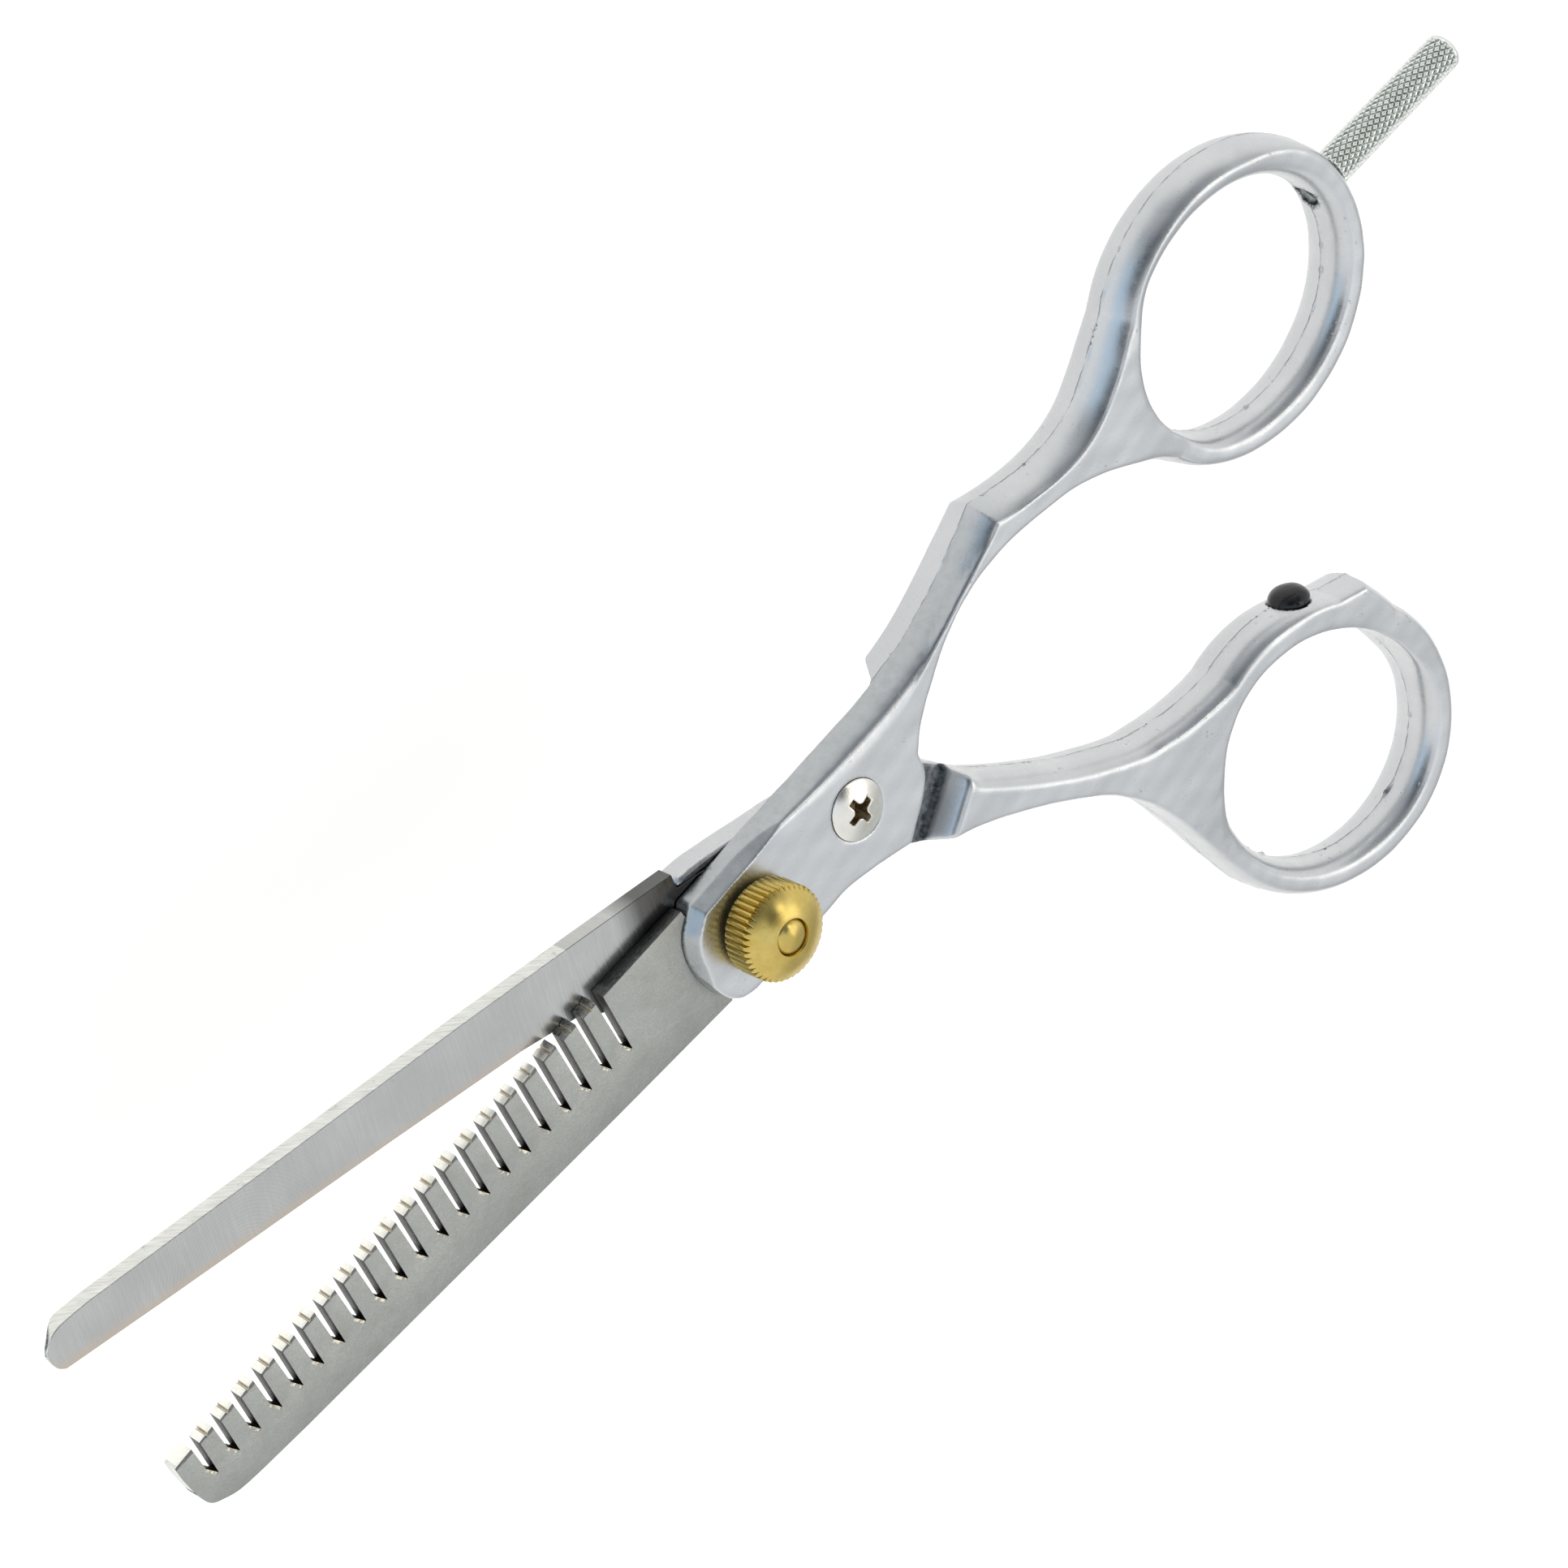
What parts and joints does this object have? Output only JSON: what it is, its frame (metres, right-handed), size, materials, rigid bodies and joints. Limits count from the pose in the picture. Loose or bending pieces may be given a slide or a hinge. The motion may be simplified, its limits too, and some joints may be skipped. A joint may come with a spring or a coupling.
{
  "type": "thinning shears",
  "caption": "Hairdressing thinning shears: cast finger and thumb handles, screwed-on straight and toothed blades, knurled tension nut, finger rest and rubber bumper.",
  "frame": {"origin": "on the pivot axis, on the back face of the pivot screw's head", "axes": "+X along the straight blade towards its tip, +Z along the pivot towards the tension nut, +Y towards the side the toothed blade opens to"},
  "size_m": [0.1794, 0.0778, 0.0122],
  "materials": {
    "cast_alloy": "satin die-cast",
    "blade_steel": "ground and brushed stainless steel",
    "brass": "turned brass",
    "nickel_screw": "nickel plated",
    "knurled_steel": "diamond knurled",
    "washer_steel": "dark spring steel",
    "rubber": "glossy black"
  },
  "bodies": {
    "thumb_half": {"thumb_handle": "cast_alloy", "straight_blade": "blade_steel", "pivot_screw": "brass", "back_blade_screw": "nickel_screw", "rubber_bumper": "rubber", "spring_washer": "washer_steel"},
    "finger_half": {"finger_handle": "cast_alloy", "toothed_blade": "blade_steel", "front_blade_screw": "nickel_screw", "finger_rest": "knurled_steel"},
    "nut": {"tension_nut": "brass"}
  },
  "joints": [
    {"name": "blade_pivot", "type": "hinge", "parent": "thumb_half", "child": "finger_half", "pos_m": [0, 0, 0.0041], "axis": [0, 0, 1], "range_deg": [-12.4, 70]},
    {"name": "nut_turn", "type": "hinge", "parent": "thumb_half", "child": "nut", "pos_m": [0, 0, 0.0081], "axis": [0, 0, 1], "range_deg": [0, 180]}
  ]
}
